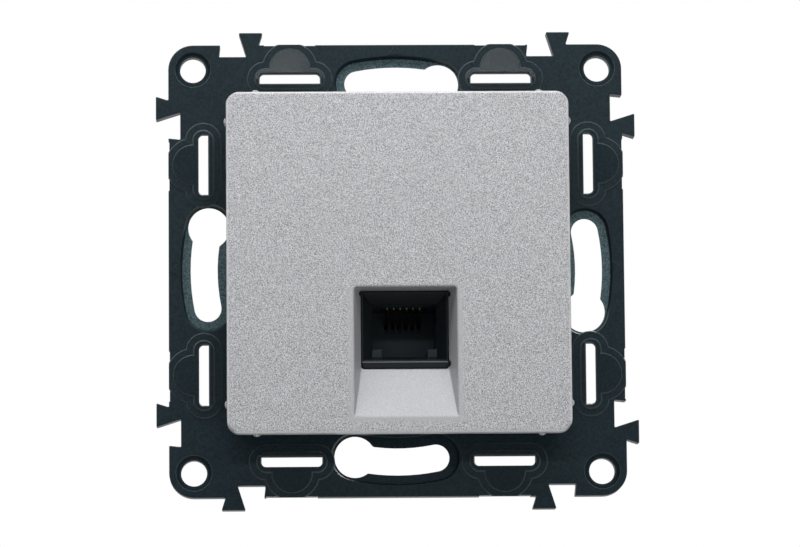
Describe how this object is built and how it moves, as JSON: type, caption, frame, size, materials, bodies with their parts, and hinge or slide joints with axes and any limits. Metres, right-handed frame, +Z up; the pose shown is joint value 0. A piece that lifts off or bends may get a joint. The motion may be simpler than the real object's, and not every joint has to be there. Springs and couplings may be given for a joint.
{
  "type": "modular jack wall socket",
  "caption": "Flush wall socket insert: square silver cover with a sloped plug port, dark mounting frame with keyholes and coupling dovetails, and a jack wired at the back under a hinged cap.",
  "frame": {"origin": "centre of the four corner holes, on the back face of the mounting frame", "axes": "+Z up, +X to the right seen from the room, -Y out of the wall"},
  "size_m": [0.075, 0.0335, 0.075],
  "materials": {
    "frame_coat": "semi-matt blue-black coat, fine grain",
    "silver_paint": "silver paint with a fine sparkling grain",
    "trim_plastic": "glossy near-black plastic",
    "holder_plastic": "dark moulded plastic",
    "jack_plastic": "near-black moulded plastic",
    "board_laminate": "green lacquered laminate",
    "terminal_plastic": "off-white moulded plastic",
    "cap_plastic": "light grey moulded plastic",
    "contact_plating": "gold-plated spring wire",
    "blade_metal": "tin-plated bronze strip"
  },
  "bodies": {
    "socket": {"mounting_frame": "frame_coat", "front_cover": "silver_paint", "port_surround": "trim_plastic", "jack_holder": "holder_plastic", "jack_housing": "jack_plastic", "contact_carrier": "jack_plastic", "circuit_board": "board_laminate", "idc_block": "terminal_plastic", "contact_1": "contact_plating", "contact_2": "contact_plating", "contact_3": "contact_plating", "contact_4": "contact_plating", "contact_5": "contact_plating", "contact_6": "contact_plating", "idc_blade_1": "blade_metal", "idc_blade_2": "blade_metal", "idc_blade_3": "blade_metal", "idc_blade_4": "blade_metal", "idc_blade_5": "blade_metal", "idc_blade_6": "blade_metal"},
    "cap": {"wire_cap": "cap_plastic"}
  },
  "joints": [
    {"name": "cap_hinge", "type": "hinge", "parent": "socket", "child": "cap", "pos_m": [0.001, 0.014, -0.017], "axis": [-1, 0, 0], "range_deg": [0, 110]}
  ]
}
